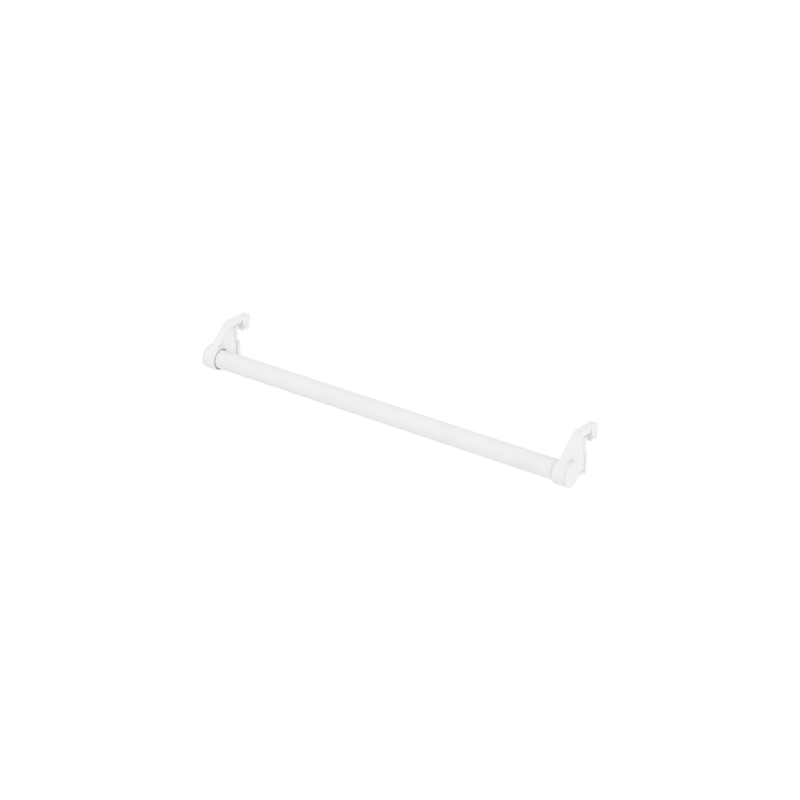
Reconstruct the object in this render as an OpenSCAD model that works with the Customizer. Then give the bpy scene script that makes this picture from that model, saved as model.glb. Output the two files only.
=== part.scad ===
// Hook-on hanging rail: a round tube carried in two moulded hook brackets.
// X runs along the tube, Y points to the rail behind it, Z is up.
// The origin is on the tube axis, halfway between the two brackets. Millimetres.

/* [Tube] */
// Outside diameter of the tube
rod_d = 25; // [22:0.5:26]
// Wall thickness of the tube
rod_wall = 1; // [0.8:0.1:1.5]
// Cut length of the tube
rod_len = 557; // [400:1:900]

/* [Collar] */
// Outside diameter of the collar that holds the tube
collar_d = 30.8; // [30.6:0.1:33]
// Width of the collar along the tube
collar_w = 18; // [17:0.5:22]
// Step from the inner face of the collar to the inner face of the arm
arm_inset = 3; // [2:0.5:4]
// Depth of the grip ring behind the mouth of the collar
ring_setback = 4; // [3:0.5:5]

/* [Arm] */
// Width of the arm along the tube
arm_w = 10.6; // [10:0.1:13]
// Tube axis to the back of the upright flange
back_y = 37.3; // [35:0.1:39]
// Tube axis to the top of the arm
top_z = 41.8; // [40:0.1:44]
// Tube axis down to the lower edge of the arm
foot_z = 13.9; // [13:0.1:15]
// Slope of the front flange
front_slope = 42.4; // [41:0.2:44]
// Radius that bends the front flange into the top
shoulder_r = 18.4; // [16:0.1:20]
// Thickness of the front flange
front_t = 1.6; // [1.4:0.1:3]
// Thickness of the upright flange at the back
upright_t = 4.6; // [4:0.1:5.5]
// Thickness of the lower flange
lower_t = 4.6; // [4:0.1:5.5]
// Depth of the pocket in the inner side of the arm
pocket_in = 2.4; // [1.5:0.1:3.5]
// Depth of the pocket in the outer side of the arm
pocket_out = 1.3; // [1:0.1:3]

/* [Hook] */
// Width of the slot that takes the rail
slot_w = 10; // [8:0.1:11]
// Thickness of the arm above the slot
bridge_t = 6.1; // [5.4:0.1:6.8]
// Thickness of the down-turned tip, front to back
tip_t = 12.7; // [12:0.1:16]
// Tube axis to the lower end of the tip
tip_z = 22.4; // [20:0.1:25]
// Thickness of the liner under the bridge
liner_t = 2; // [1.5:0.1:2.5]
// How far the top band stands out behind the tip
band_lip = 1.3; // [0.6:0.1:2]
// Height of the top band
band_h = 7.5; // [6:0.1:9]

/* [Back pad] */
// How far the pad stands out behind the flange
pad_proud = 3.1; // [2:0.1:5]
// Height of the upper end of the pad above the tube axis
pad_top = 12.4; // [10:0.1:14]
// Depth of the lower end of the pad below the tube axis
pad_low = 12.1; // [9:0.1:12.2]

/* [End cap] */
// Diameter of the cap flange
cap_d = 30.6; // [29.6:0.1:31]
// Thickness of the cap flange
cap_t = 1.5; // [1.4:0.1:3]
// Length of the plug inside the tube
plug_len = 14; // [10:1:20]

/* [Hidden] */
$fn = 96;

powder_white = [0.93, 0.93, 0.93];
moulded_white = [0.91, 0.91, 0.90];
cap_white = [0.92, 0.92, 0.91];
pad_white = [0.86, 0.86, 0.85];
liner_grey = [0.60, 0.60, 0.60];
nylon_cream = [0.86, 0.85, 0.80];

run_gap = 0.05;   // radial clearance of a running fit
seat_gap = 0.08;  // clearance round a pressed-in or clipped-on piece
face_gap = 0.3;   // gap between two faces that move past each other

rod_r = rod_d / 2;
rod_bore_r = rod_r - rod_wall;
rod_end_x = rod_len / 2;
collar_r = collar_d / 2;
collar_x = rod_end_x - face_gap - collar_w;   // inner face of the right collar

// Grip ring and its seat in the collar
ring_in_r = rod_r + run_gap;
ring_out_r = ring_in_r + 1.1;
seat_r = ring_out_r + run_gap;
lip_t = 1.5;                                   // stop at the outer end of the seat
lip_r = rod_r + 0.4;
ring_x0 = ring_setback;
ring_x1 = collar_w - lip_t - 0.2;
bead_h = 0.3;                                  // snap bead round the ring
bead_w = 1.6;
bead_x = (ring_x0 + ring_x1) / 2;
ring_split = 2;

// Arm outline
arm_x0 = arm_inset;
arm_x1 = arm_inset + arm_w;
shoulder_y = 30.5;
shoulder_z = top_z - shoulder_r;
front_y = shoulder_y - shoulder_r * sin(front_slope);
front_z = shoulder_z + shoulder_r * cos(front_slope);
front_run = 35;                                // length of the straight front flange
foot_r = 1.6;                                  // corner at the foot of the upright flange
slot_y1 = back_y + slot_w;
tip_y1 = slot_y1 + tip_t;
bridge_z = top_z - bridge_t;
side_y = back_y - upright_t;                   // back wall of the pocket
liner_y0 = side_y - 0.2;                       // liner starts flush with the pocket wall
bend_y = slot_y1 - 5.2;                        // from here the liner rises to the tip
bend_rise = 1.3;                                // its rise by then
tongue_t = 1.6;                                // tongue that locks the liner in the bridge
tongue_h = 2.8;
tongue_y0 = slot_y1 - 2.1;
low_z = lower_t - foot_z;                      // floor of the pocket

// Pad clip
leg_len = 1.9;                                 // reach of the legs along the web
clip_y = back_y - leg_len;
web_mid = (arm_x0 + pocket_in + arm_x1 - pocket_out) / 2;
peg_r = 1.6;
peg_len = 2.2;
peg_z = [pad_top - 5, 5 - pad_low];

// Points of an arc about [cy, cz], from angle a0 to angle a1
function arc(cy, cz, r, a0, a1, n = 10) =
    [for (i = [0 : n]) let (a = a0 + (a1 - a0) * i / n) [cy + r * cos(a), cz + r * sin(a)]];

// Height of the underside of the bridge at the depth y
function bridge_under(y) =
    bridge_z + bend_rise * max(0, y - bend_y) / (slot_y1 - bend_y);

// A point moved back along the front flange by the length s
function down_front(y, z, s) = [y - s * cos(front_slope), z - s * sin(front_slope)];

// Stands a drawing of Y and Z at x0 and gives it the width w along X
module across(x0, w) {
    translate([x0, 0, 0])
        rotate([90, 0, 90])
            linear_extrude(w) children();
}

// Turns a drawing of radius and X about the tube axis
module about_rod() {
    rotate([0, 90, 0])
        rotate_extrude() children();
}

// Places right-hand pieces, drawn from the inner face of the collar
module on_right() {
    translate([collar_x, 0, 0]) children();
}

module on_left() {
    mirror([1, 0, 0]) on_right() children();
}

module round_box(y0, y1, z0, z1, r) {
    polygon(concat(
        arc(y1 - r, z1 - r, r, 0, 90, 6),
        arc(y0 + r, z1 - r, r, 90, 180, 6),
        arc(y0 + r, z0 + r, r, 180, 270, 6),
        arc(y1 - r, z0 + r, r, 270, 360, 6)));
}

module arm_outline() {
    band_y = tip_y1 + band_lip;
    polygon(concat(
        [down_front(front_y, front_z, front_run)],
        arc(shoulder_y, shoulder_z, shoulder_r, 90 + front_slope, 90, 20),
        arc(band_y - 1.2, top_z - 1.2, 1.2, 90, 0, 6),
        arc(band_y - 0.6, top_z - band_h + 0.6, 0.6, 0, -90, 4),
        [[tip_y1, top_z - band_h]],
        arc(tip_y1 - 5, tip_z + 5, 5, 0, -90, 12),
        arc(slot_y1 + 1.6, tip_z + 1.6, 1.6, 270, 180, 6),
        [[slot_y1, bridge_under(slot_y1)], [bend_y, bridge_z], [liner_y0, bridge_z]],
        [[liner_y0, bridge_z - liner_t], [back_y, bridge_z - liner_t]],
        arc(back_y - foot_r, foot_r - foot_z, foot_r, 0, -90, 10),
        [[6, -foot_z]]));
}

// Pocket between the flanges, open to the side
module pocket_outline() {
    roof_z = bridge_z - 0.5;
    edge_y = front_y + front_t * sin(front_slope);
    edge_z = front_z - front_t * cos(front_slope);
    up = (edge_z - roof_z) / sin(front_slope);     // from the roof to the shoulder
    difference() {
        polygon(concat(
            [down_front(edge_y, edge_z, front_run - 1)],
            [down_front(edge_y, edge_z, up + 1), down_front(edge_y, edge_z, up) + [1.2, 0]],
            [[side_y, roof_z]],
            arc(side_y - 2, low_z + 2, 2, 0, -90, 6),
            [[5, low_z]]));
        circle(r = collar_r + 0.35);
    }
}

// Shallow panel in the side of the tip
module tip_panel() {
    round_box(slot_y1 + 4, tip_y1 - 3.6, tip_z + 3.4, bridge_z - 1, 1.6);
}

// Round mark left by a moulding pin
module pin_mark() {
    translate([slot_y1 + 2, tip_z + 6]) circle(r = 1.3, $fn = 32);
}

module collar_body() {
    round_in = 0.8;
    round_out = 0.3;
    about_rod()
        polygon(concat(
            [[1, 0]],
            arc(collar_r - round_in, round_in, round_in, -90, 0, 5),
            arc(collar_r - round_out, collar_w - round_out, round_out, 0, 90, 4),
            [[1, collar_w]]));
}

module collar_bore() {
    about_rod()
        polygon([
            [0, -1],
            [seat_r + 0.2, -1],
            [seat_r + 0.2, 0],
            [seat_r, 0.4],
            [seat_r, bead_x - bead_w / 2 - 0.2],
            [seat_r + bead_h, bead_x - bead_w / 2 - 0.2],
            [seat_r + bead_h, bead_x + bead_w / 2 + 0.2],
            [seat_r, bead_x + bead_w / 2 + 0.2],
            [seat_r, collar_w - lip_t],
            [lip_r, collar_w - lip_t],
            [lip_r, collar_w + 1],
            [0, collar_w + 1]]);
}

// Place where the pad clips round the web, in both sides of the upright flange
module clip_cuts() {
    play = 0.1;
    reach = 1;                                     // every cut runs this far past the arm
    from_y = side_y - 0.6;
    low = -pad_low - play;
    size_y = back_y + reach - from_y;
    size_z = pad_top + pad_low + 2 * play;
    translate([arm_x0 - reach, from_y, low])
        cube([pocket_in + reach, size_y, size_z]);
    translate([arm_x1 - pocket_out, from_y, low])
        cube([pocket_out + reach, size_y, size_z]);
    for (z = peg_z)
        translate([web_mid, back_y - peg_len - 0.3, z])
            rotate([-90, 0, 0])
                cylinder(r = peg_r + seat_gap, h = peg_len + reach, $fn = 32);
}

module bracket_arm() {
    difference() {
        union() {
            collar_body();
            across(arm_x0, arm_w) arm_outline();
        }
        collar_bore();
        across(arm_x0 - 1, pocket_in + 1) pocket_outline();
        across(arm_x1 - pocket_out, pocket_out + 1) pocket_outline();
        across(arm_x0 - 1, 1.5) tip_panel();
        across(arm_x1 - 0.5, 1.5) tip_panel();
        across(arm_x0 - 1, 4) pin_mark();
        across(arm_x1 - 3, 4) pin_mark();
        translate([arm_x0 - 1, tongue_y0, bridge_z - 0.6])
            cube([arm_w + 2, tongue_t, tongue_h + 0.6]);
        clip_cuts();
    }
}

// Split ring that grips the tube and turns in the collar
module grip_ring() {
    difference() {
        about_rod()
            polygon([
                [ring_in_r + 0.4, ring_x0],
                [ring_out_r - 0.4, ring_x0],
                [ring_out_r, ring_x0 + 0.6],
                [ring_out_r, bead_x - bead_w / 2],
                [ring_out_r + bead_h, bead_x - bead_w / 2 + 0.3],
                [ring_out_r + bead_h, bead_x + bead_w / 2 - 0.3],
                [ring_out_r, bead_x + bead_w / 2],
                [ring_out_r, ring_x1],
                [ring_in_r, ring_x1],
                [ring_in_r, ring_x0 + 0.6]]);
        translate([ring_x0 - 1, -ring_split / 2, -collar_r])
            cube([collar_w, ring_split, collar_r]);
    }
}

// Soft strip under the bridge, with a tongue that locks into the arm
module hook_liner() {
    side = 0.1;
    play = 0.02;
    low = bridge_z - liner_t + play;
    end = slot_y1 - play;
    y0 = tongue_y0 + seat_gap;
    y1 = tongue_y0 + tongue_t - seat_gap;
    across(arm_x0 + side, arm_w - 2 * side)
        polygon([
            [liner_y0 + seat_gap, low],
            [bend_y + 0.3, low],
            [end, low + bend_rise],
            [end, bridge_under(end) - play],
            [y1, bridge_under(y1) - play],
            [y1, bridge_z + tongue_h - 0.1],
            [y0, bridge_z + tongue_h - 0.1],
            [y0, bridge_under(y0) - play],
            [bend_y, bridge_z - play],
            [liner_y0 + seat_gap, bridge_z - play]]);
}

// U-shaped bumper clipped round the web, in line with the upright flange
module rear_pad() {
    difference() {
        across(arm_x0, arm_w)
            polygon(concat(
                [[clip_y, pad_top], [clip_y, -pad_low]],
                arc(back_y + pad_proud - 1.5, 1.5 - pad_low, 1.5, -90, 0, 6),
                arc(back_y + pad_proud - 1.5, pad_top - 1.5, 1.5, 0, 90, 6)));
        translate([arm_x0 + pocket_in - seat_gap, clip_y - 1, -pad_low - 1])
            cube([arm_w - pocket_in - pocket_out + 2 * seat_gap, leg_len + 1 + seat_gap,
                pad_top + pad_low + 2]);
    }
    for (z = peg_z)
        translate([web_mid, back_y - peg_len, z])
            rotate([-90, 0, 0])
                cylinder(r = peg_r, h = peg_len + 0.5, $fn = 32);
}

// Slightly domed disc that closes the tube, with a ribbed hollow plug
module end_cap() {
    wall = 1.6;
    cap_r = cap_d / 2;
    plug_r = rod_bore_r - run_gap;
    translate([collar_w + face_gap, 0, 0]) {
        about_rod()
            polygon(concat(
                [[0, -1], [plug_r - wall, -1], [plug_r - wall, -plug_len]],
                [[plug_r - 0.8, -plug_len], [plug_r, 1.2 - plug_len], [plug_r, 0]],
                [[cap_r - 0.15, 0], [cap_r, 0.15], [cap_r, cap_t - 1]],
                [[cap_r - 0.2, cap_t - 0.76], [cap_r - 0.6, cap_t - 0.52]],
                [[cap_r - 1.9, cap_t - 0.24], [cap_r - 3.8, cap_t - 0.07]],
                [[cap_r - 6, cap_t], [0, cap_t]]));
        for (a = [0, 90])
            rotate([a, 0, 0])
                translate([2 - plug_len, 0.6 - plug_r, -0.6])
                    cube([plug_len - 2.5, 2 * plug_r - 1.2, 1.2]);
    }
}

module rod_tube() {
    color(powder_white)
        translate([-rod_end_x, 0, 0])
            about_rod()
                polygon([
                    [rod_bore_r + 0.2, 0],
                    [rod_r - 0.2, 0],
                    [rod_r, 0.2],
                    [rod_r, rod_len - 0.2],
                    [rod_r - 0.2, rod_len],
                    [rod_bore_r + 0.2, rod_len],
                    [rod_bore_r, rod_len - 0.2],
                    [rod_bore_r, 0.2]]);
}

module left_bracket_arm() { color(moulded_white) on_left() bracket_arm(); }
module left_grip_ring() { color(nylon_cream) on_left() grip_ring(); }
module left_hook_liner() { color(liner_grey) on_left() hook_liner(); }
module left_rear_pad() { color(pad_white) on_left() rear_pad(); }
module left_end_cap() { color(cap_white) on_left() end_cap(); }

module right_bracket_arm() { color(moulded_white) on_right() bracket_arm(); }
module right_grip_ring() { color(nylon_cream) on_right() grip_ring(); }
module right_hook_liner() { color(liner_grey) on_right() hook_liner(); }
module right_rear_pad() { color(pad_white) on_right() rear_pad(); }
module right_end_cap() { color(cap_white) on_right() end_cap(); }

rod_tube();
left_bracket_arm();
left_grip_ring();
left_hook_liner();
left_rear_pad();
left_end_cap();
right_bracket_arm();
right_grip_ring();
right_hook_liner();
right_rear_pad();
right_end_cap();
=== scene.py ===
import math

import bmesh
import bpy
from mathutils import Matrix, Vector


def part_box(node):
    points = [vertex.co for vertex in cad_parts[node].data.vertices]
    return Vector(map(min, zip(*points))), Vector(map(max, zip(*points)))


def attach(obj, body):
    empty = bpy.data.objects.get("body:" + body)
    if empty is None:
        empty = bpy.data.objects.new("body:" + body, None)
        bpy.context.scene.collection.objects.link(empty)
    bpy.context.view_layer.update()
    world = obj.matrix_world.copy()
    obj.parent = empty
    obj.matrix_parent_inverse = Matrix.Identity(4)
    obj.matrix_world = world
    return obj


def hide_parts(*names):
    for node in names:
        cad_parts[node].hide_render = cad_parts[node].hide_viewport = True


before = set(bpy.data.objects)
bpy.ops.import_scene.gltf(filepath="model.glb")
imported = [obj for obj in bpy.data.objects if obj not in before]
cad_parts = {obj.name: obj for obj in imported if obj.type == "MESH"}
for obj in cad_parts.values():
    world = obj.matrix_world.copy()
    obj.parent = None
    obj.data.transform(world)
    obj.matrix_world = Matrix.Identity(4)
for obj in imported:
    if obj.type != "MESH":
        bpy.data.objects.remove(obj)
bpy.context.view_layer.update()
SCENE = bpy.context.scene

# Lengths are metres, angles degrees.
CAMERA_TURN, CAMERA_RISE = 37.57, 24.99
CAMERA_AWAY, CAMERA_RIGHT, CAMERA_UP = 2.5966, 0.02368, 0.01435
CAMERA_LENS_MM, SENSOR_MM = 95.78, 36

TUBE_WALL = 0.001
TUBE_END_CHAMFER = 0.00025
TUBE_SPANS, TUBE_SIDES = 60, 144
BORE_SKIN = 0.0001      # tube faces this near the bore's wall are bare steel

SAME_POINT = 1e-6       # CAD points closer than this are one point
FLAT_ENOUGH = 0.004     # radians: faces closer to flat than this are one face
CONVEX_ENOUGH = 32      # an outer edge bends at least this much
MERGE_AFTER_ROUNDING = 3e-6
ROUND_STEPS = 3
SMOOTH_CAD, SMOOTH_ROUNDED = 35, 40
# On the arm, edges this near the tube's axis are the collar's, or lie where the arm meets it.
COLLAR_REACH = 0.019
# The ones behind and below these are in the pocket under the rear pad, or round the foot.
POCKET_FRONT, POCKET_TOP = 0.034, 0.006

FLOOR_HALF, FLOOR_HEIGHT = 14, -0.9


# ---------------------------------------------------------------- camera
def aim_camera():
    az, el = math.radians(CAMERA_TURN), math.radians(CAMERA_RISE)
    back = Vector((math.sin(az) * math.cos(el), -math.cos(az) * math.cos(el), math.sin(el)))
    right = Vector((math.cos(az), math.sin(az), 0))
    up = back.cross(right)
    data = bpy.data.cameras.new("camera")
    data.sensor_width = SENSOR_MM
    data.lens = CAMERA_LENS_MM
    data.clip_start, data.clip_end = 0.05, 60
    cam = bpy.data.objects.new("camera", data)
    place = back * CAMERA_AWAY + right * CAMERA_RIGHT + up * CAMERA_UP
    cam.matrix_world = Matrix((
        (right.x, up.x, back.x, place.x),
        (right.y, up.y, back.y, place.y),
        (right.z, up.z, back.z, place.z),
        (0, 0, 0, 1)))
    SCENE.collection.objects.link(cam)
    SCENE.camera = cam


# ---------------------------------------------------------------- materials
class Nodes:
    """Short names for building a material's node tree."""

    def __init__(self, name, colour, rough, specular=0.35):
        self.mat = bpy.data.materials.new(name)
        self.mat.use_nodes = True
        self.tree = self.mat.node_tree
        self.shader = self.tree.nodes["Principled BSDF"]
        self.shader.inputs["Base Color"].default_value = (*colour, 1)
        self.shader.inputs["Roughness"].default_value = rough
        self.shader.inputs["Specular IOR Level"].default_value = specular
        self.coords = self.add("ShaderNodeTexCoord").outputs["Object"]

    def add(self, kind, **settings):
        node = self.tree.nodes.new(kind)
        for key, value in settings.items():
            setattr(node, key, value)
        return node

    def link(self, a, b):
        self.tree.links.new(a, b)

    def noise(self, scale, detail=2.0, rough=0.5, stretch=None):
        node = self.add("ShaderNodeTexNoise")
        node.inputs["Scale"].default_value = scale
        node.inputs["Detail"].default_value = detail
        node.inputs["Roughness"].default_value = rough
        source = self.coords
        if stretch:
            mapping = self.add("ShaderNodeMapping")
            mapping.inputs["Scale"].default_value = stretch
            self.link(source, mapping.inputs["Vector"])
            source = mapping.outputs["Vector"]
        self.link(source, node.inputs["Vector"])
        return node.outputs["Fac"]

    def span(self, value, lo, hi, from_lo=0.3, from_hi=0.7):
        node = self.add("ShaderNodeMapRange")
        node.inputs["From Min"].default_value = from_lo
        node.inputs["From Max"].default_value = from_hi
        node.inputs["To Min"].default_value = lo
        node.inputs["To Max"].default_value = hi
        self.link(value, node.inputs["Value"])
        return node.outputs["Result"]

    def ramp(self, value, stops):
        node = self.add("ShaderNodeValToRGB")
        elements = node.color_ramp.elements
        while len(elements) < len(stops):
            elements.new(0.5)
        for element, (place, colour) in zip(elements, stops):
            element.position = place
            element.color = (*colour, 1)
        self.link(value, node.inputs["Fac"])
        return node.outputs["Color"]

    def mix(self, factor, a, b):
        node = self.add("ShaderNodeMix", data_type="RGBA")
        self.link(factor, node.inputs["Factor"])
        for socket, value in ((node.inputs[6], a), (node.inputs[7], b)):
            if isinstance(value, tuple):
                socket.default_value = (*value, 1)
            else:
                self.link(value, socket)
        return node.outputs[2]

    def edges(self, lo, hi):
        """1 on convex edges, 0 on flat faces: the mask for a painted highlight along the edges."""
        geometry = self.add("ShaderNodeNewGeometry")
        return self.span(geometry.outputs["Pointiness"], 0, 1, lo, hi)

    def bump(self, layers):
        previous = None
        for height, strength, distance in layers:
            node = self.add("ShaderNodeBump")
            node.inputs["Strength"].default_value = strength
            node.inputs["Distance"].default_value = distance
            self.link(height, node.inputs["Height"])
            if previous:
                self.link(previous, node.inputs["Normal"])
            previous = node.outputs["Normal"]
        self.link(previous, self.shader.inputs["Normal"])

    def colour(self, socket):
        self.link(socket, self.shader.inputs["Base Color"])

    def rough(self, socket):
        self.link(socket, self.shader.inputs["Roughness"])


def grey(v):
    return (v, v, v)


def powder_coat():
    n = Nodes("powder_coat_white", grey(0.74), 0.46, 0.3)
    cloud = n.noise(22, 3)
    mottled = n.ramp(cloud, [(0.3, grey(0.73)), (0.7, grey(0.75))])
    speck = n.span(n.noise(2600, 1), 0, 1, 0.72, 0.80)
    n.colour(n.mix(speck, mottled, grey(0.70)))
    n.rough(n.span(n.noise(160, 2), 0.42, 0.52))
    n.bump([(n.noise(620, 2), 0.10, 0.00012), (n.noise(2400, 1), 0.06, 0.00004)])
    return n.mat


def moulded_plastic(name, tone, rough, grain):
    n = Nodes(name, grey(tone), rough, 0.35)
    flow = n.noise(38, 4, 0.55, (1, 0.5, 0.5))
    body = n.ramp(flow, [(0.3, grey(tone - 0.012)), (0.7, grey(tone + 0.008))])
    # Convex edges are painted slightly lighter than the body: a painted highlight where light catches
    # the rounded edges.
    n.colour(n.mix(n.edges(0.52, 0.60), body, grey(tone + 0.02)))
    n.rough(n.span(n.noise(210, 2), rough - 0.05, rough + 0.05))
    n.bump([(n.noise(grain, 2, 0.6), 0.10, 0.00005), (n.noise(90, 2), 0.04, 0.0002)])
    return n.mat


def soft_rubber(name, tone):
    n = Nodes(name, grey(tone), 0.75, 0.25)
    n.colour(n.ramp(n.noise(60, 3), [(0.3, grey(tone * 0.96)), (0.7, grey(tone * 1.03))]))
    n.rough(n.span(n.noise(300, 2), 0.68, 0.82))
    n.bump([(n.noise(1800, 2, 0.7), 0.22, 0.00006)])
    return n.mat


def nylon():
    n = Nodes("natural_nylon", (0.62, 0.61, 0.57), 0.4, 0.4)
    n.colour(n.ramp(n.noise(80, 3), [(0.3, (0.60, 0.59, 0.55)), (0.7, (0.64, 0.63, 0.59))]))
    n.rough(n.span(n.noise(260, 2), 0.34, 0.46))
    n.bump([(n.noise(900, 2), 0.08, 0.00005)])
    return n.mat


def bare_steel_inside():
    n = Nodes("tube_bore_steel", (0.42, 0.42, 0.43), 0.35, 0.5)
    n.shader.inputs["Metallic"].default_value = 0.9
    drawn = n.noise(40, 3, 0.5, (0.2, 1, 1))
    n.colour(n.ramp(drawn, [(0.3, (0.38, 0.38, 0.39)), (0.7, (0.47, 0.47, 0.48))]))
    n.rough(n.span(n.noise(500, 2, 0.5, (0.1, 1, 1)), 0.28, 0.5))
    return n.mat


# ---------------------------------------------------------------- pieces
def smooth(mesh, angle):
    for p in mesh.polygons:
        p.use_smooth = True
    mesh.set_sharp_from_angle(angle=math.radians(angle))


def finish_mesh(name, bm, material):
    mesh = bpy.data.meshes.new(name)
    bm.to_mesh(mesh)
    bm.free()
    smooth(mesh, SMOOTH_CAD)
    mesh.materials.append(material)
    ob = bpy.data.objects.new(name, mesh)
    SCENE.collection.objects.link(ob)
    return ob


def apply_modifiers(ob):
    dg = bpy.context.evaluated_depsgraph_get()
    mesh = bpy.data.meshes.new_from_object(ob.evaluated_get(dg))
    old = ob.data
    ob.modifiers.clear()
    ob.data = mesh
    bpy.data.meshes.remove(old)


def stays_sharp(edge):
    """True near the arm's collar and in its pocket and foot, where rounded facets would cross."""
    middle = (edge.verts[0].co + edge.verts[1].co) / 2
    in_pocket = middle.y > POCKET_FRONT and middle.z < POCKET_TOP
    return in_pocket or math.hypot(middle.y, middle.z) < COLLAR_REACH


def mark_outer_edges(bm, least_area, is_arm):
    """Weights the convex edges between two faces that aren't small, so that only those are rounded."""
    weight = bm.edges.layers.float.new("bevel_weight_edge")
    for e in bm.edges:
        if len(e.link_faces) != 2 or e.calc_face_angle_signed(0) < math.radians(CONVEX_ENOUGH):
            continue
        if is_arm and stays_sharp(e):
            continue
        if min(f.calc_area() for f in e.link_faces) >= least_area:
            e[weight] = 1.0


def merge_close_points(ob):
    bm = bmesh.new()
    bm.from_mesh(ob.data)
    bmesh.ops.remove_doubles(bm, verts=bm.verts, dist=MERGE_AFTER_ROUNDING)
    bm.to_mesh(ob.data)
    bm.free()


def moulded_copy(node, name, material, radius, least_area, is_arm):
    """The CAD piece with its outer edges rounded, as it leaves a mould.
    The arm is rounded unclamped, because its smallest edge would narrow the rest."""
    bm = bmesh.new()
    bm.from_mesh(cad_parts[node].data)
    bmesh.ops.remove_doubles(bm, verts=bm.verts, dist=SAME_POINT)
    bmesh.ops.dissolve_limit(bm, angle_limit=FLAT_ENOUGH, verts=bm.verts, edges=bm.edges)
    for f in bm.faces:
        f.material_index = 0
    mark_outer_edges(bm, least_area, is_arm)
    ob = finish_mesh(name, bm, material)
    bevel = ob.modifiers.new("round", "BEVEL")
    bevel.width = radius
    bevel.segments = ROUND_STEPS
    bevel.limit_method = "WEIGHT"
    bevel.use_clamp_overlap = not is_arm
    bevel.miter_outer = "MITER_ARC"
    apply_modifiers(ob)
    merge_close_points(ob)
    smooth(ob.data, SMOOTH_ROUNDED)
    weighted = ob.modifiers.new("normals", "WEIGHTED_NORMAL")
    weighted.keep_sharp = True
    apply_modifiers(ob)
    return ob


def lathe(profile, steps):
    """Turns a closed loop of (x, r) points about the X axis."""
    bm = bmesh.new()
    rings = []
    for i in range(steps):
        a = 2 * math.pi * i / steps
        rings.append([bm.verts.new((x, r * math.cos(a), r * math.sin(a))) for x, r in profile])
    count = len(profile)
    for i in range(steps):
        a, b = rings[i], rings[(i + 1) % steps]
        for k in range(count):
            m = (k + 1) % count
            bm.faces.new((a[k], b[k], b[m], a[m]))
    bmesh.ops.recalc_face_normals(bm, faces=bm.faces)
    return bm


def tube():
    lo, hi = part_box("rod_tube")
    outer, inner = hi.z, hi.z - TUBE_WALL
    e = TUBE_END_CHAMFER
    between = [lo.x + (hi.x - lo.x) * i / TUBE_SPANS for i in range(1, TUBE_SPANS)]
    stations = [lo.x + e] + between + [hi.x - e]
    profile = [(lo.x, outer - e)] + [(x, outer) for x in stations] + [(hi.x, outer - e)]
    profile += [(hi.x, inner + e)]
    profile += [(x, inner) for x in (hi.x - e, 0.0, lo.x + e)]
    profile += [(lo.x, inner + e)]
    bm = lathe(profile, TUBE_SIDES)
    bm.normal_update()
    for f in bm.faces:
        c = f.calc_center_median()
        f.material_index = 1 if math.hypot(c.y, c.z) < inner + BORE_SKIN else 0
    ob = finish_mesh("tube", bm, COAT)
    ob.data.materials.append(BORE)
    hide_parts("rod_tube")
    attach(ob, "rod")


COAT = powder_coat()
BORE = bare_steel_inside()
ARM = moulded_plastic("moulded_white", 0.75, 0.48, 1500)
CAP = moulded_plastic("cap_white", 0.74, 0.42, 2200)
PAD = soft_rubber("pad_offwhite", 0.75)
LINER = soft_rubber("liner_grey", 0.55)
NYLON = nylon()

tube()
for side in ("left", "right"):
    for part, material, slot, body, radius, least_area in (
            ("bracket_arm", ARM, "moulded_white", "bracket", 0.0002, 2e-6),
            ("hook_liner", LINER, "liner_grey", "bracket", 0.0002, 3e-6),
            ("rear_pad", PAD, "pad_white", "bracket", 0.0003, 3e-6),
            ("grip_ring", NYLON, "nylon_cream", "ring", 0.0001, 0),
            ("end_cap", CAP, "cap_white", "cap", 0.00008, 0)):
        node = f"{side}_{part}"
        is_arm = part == "bracket_arm"
        piece = moulded_copy(node, f"{node}_detail", material, radius, least_area, is_arm)
        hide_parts(node)
        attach(piece, f"{side}_{body}")


# ---------------------------------------------------------------- stage
def floor():
    mesh = bpy.data.meshes.new("floor")
    s, z = FLOOR_HALF, FLOOR_HEIGHT
    mesh.from_pydata([(-s, -s, z), (s, -s, z), (s, s, z), (-s, s, z)], [], [(0, 1, 2, 3)])
    n = Nodes("floor_pale", grey(0.89), 0.9, 0.1)
    n.colour(n.ramp(n.noise(3, 3), [(0.3, grey(0.888)), (0.7, grey(0.896))]))
    n.shader.inputs["Emission Color"].default_value = (1, 1, 1, 1)
    n.shader.inputs["Emission Strength"].default_value = 0.012
    mesh.materials.append(n.mat)
    ob = bpy.data.objects.new("floor", mesh)
    SCENE.collection.objects.link(ob)


def soft_sun(name, towards, strength, spread):
    """A broad, even light that shines from the direction towards."""
    data = bpy.data.lights.new(name, "SUN")
    data.energy = strength
    data.angle = math.radians(spread)
    ob = bpy.data.objects.new(name, data)
    ob.rotation_euler = Vector(towards).to_track_quat("Z", "Y").to_euler()
    SCENE.collection.objects.link(ob)


def lights():
    world = bpy.data.worlds.new("studio")
    world.use_nodes = True
    background = world.node_tree.nodes["Background"]
    background.inputs["Color"].default_value = (1, 1, 1, 1)
    background.inputs["Strength"].default_value = 1.0
    SCENE.world = world
    soft_sun("key", towards=(0.73, -0.49, 0.49), strength=0.78, spread=40)
    SCENE.view_settings.view_transform = "Standard"


floor()
lights()
aim_camera()
